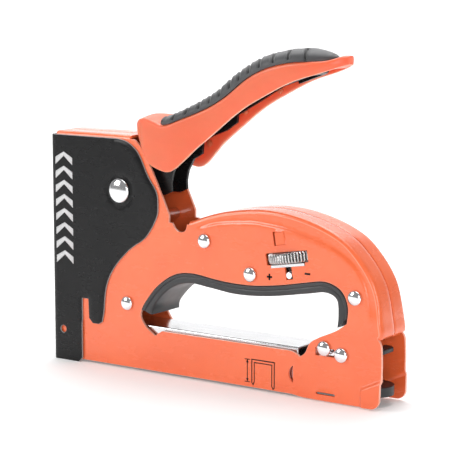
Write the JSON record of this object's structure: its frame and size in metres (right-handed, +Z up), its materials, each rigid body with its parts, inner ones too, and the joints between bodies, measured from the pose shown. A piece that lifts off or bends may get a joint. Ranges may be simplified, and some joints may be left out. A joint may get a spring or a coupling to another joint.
{
  "type": "staple gun",
  "caption": "Hand-squeezed staple gun with pressed steel shells, padded lever, finger hole, spring-force wheel and pull-out staple rail.",
  "frame": {"origin": "middle of the footprint at the bottom of the nose, on the surface the gun stands on", "axes": "+X from the nose to the tail, +Y across the gun towards the right shell, +Z up towards the lever"},
  "size_m": [0.18, 0.0288, 0.1512],
  "materials": {
    "orange_paint": "glossy powder coat",
    "orange_plastic": "semi-gloss",
    "black_paint": "satin",
    "black_plastic": "satin",
    "grey_rubber": "matte",
    "grey_plastic": "satin",
    "plated_steel": "polished nickel plate",
    "bright_steel": "bright zinc plate",
    "spring_steel": "oiled"
  },
  "bodies": {
    "frame": {"left_shell": "orange_paint", "right_shell": "orange_paint", "nose_plate": "black_paint", "front_rivet": "plated_steel", "upper_rivet": "plated_steel", "fulcrum_rivet": "plated_steel", "rear_rivet": "plated_steel", "tail_rivet": "plated_steel", "latch_pin": "plated_steel", "lever_stop_pin": "plated_steel", "lever_pivot_rivet": "plated_steel", "grip_liner": "grey_plastic", "magazine_channel": "bright_steel", "staple_strip": "bright_steel", "latch_spring": "spring_steel", "driver_guide": "black_plastic", "driver_bumper": "grey_rubber", "power_spring": "spring_steel", "pivot_bushing": "bright_steel", "lever_return_spring": "spring_steel", "adjuster_bracket": "bright_steel"},
    "lever": {"lever": "black_paint", "handle_cover": "orange_plastic", "handle_pad": "grey_rubber", "lifting_claw": "bright_steel", "claw_pin": "bright_steel"},
    "driver": {"driver_blade": "bright_steel"},
    "force_wheel": {"adjusting_wheel": "bright_steel", "adjusting_screw": "bright_steel"},
    "force_slider": {"force_slider": "bright_steel"},
    "rail": {"magazine_rail": "bright_steel", "guide_rod": "bright_steel", "rail_pull_tab": "black_plastic", "pusher_spring": "spring_steel"},
    "pusher": {"pusher": "black_plastic"},
    "latch": {"magazine_latch": "bright_steel", "latch_tab": "black_plastic"}
  },
  "joints": [
    {"name": "lever_squeeze", "type": "hinge", "parent": "frame", "child": "lever", "pos_m": [-0.0487, 0, 0.0839], "axis": [0, 1, 0], "range_deg": [0, 24], "stiffness_Nm_per_rad": 3, "springref_deg": -14.32, "deforming": ["lever_return_spring"]},
    {"name": "driver_lift", "type": "slide", "parent": "frame", "child": "driver", "axis": [0, 0, 1], "range_m": [0, 0.0155], "deforming": ["power_spring"]},
    {"name": "force_wheel_turn", "type": "hinge", "parent": "frame", "child": "force_wheel", "pos_m": [0.0421, 0, 0.06125], "axis": [-0.1616, 0, 0.9869], "range_deg": [0, 720]},
    {"name": "force_slider_travel", "type": "slide", "parent": "frame", "child": "force_slider", "axis": [-0.1616, 0, 0.9869], "range_m": [0, 0.0021]},
    {"name": "rail_pull", "type": "slide", "parent": "frame", "child": "rail", "axis": [1, 0, 0], "range_m": [0, 0.11]},
    {"name": "pusher_travel", "type": "slide", "parent": "rail", "child": "pusher", "axis": [1, 0, 0], "range_m": [0, 0.06], "stiffness_N_per_m": 20, "springref_m": -0.03, "deforming": ["pusher_spring"]},
    {"name": "latch_press", "type": "hinge", "parent": "frame", "child": "latch", "pos_m": [0.0616, 0, 0.0237], "axis": [0, 1, 0], "range_deg": [0, 6], "stiffness_Nm_per_rad": 0.2, "springref_deg": -11.46, "deforming": ["latch_spring"]}
  ],
  "couplings": [
    {"joint": "driver_lift", "follows": "lever_squeeze", "m_per_rad": 0.036765},
    {"joint": "force_slider_travel", "follows": "force_wheel_turn", "m_per_rad": 0.00015915}
  ]
}
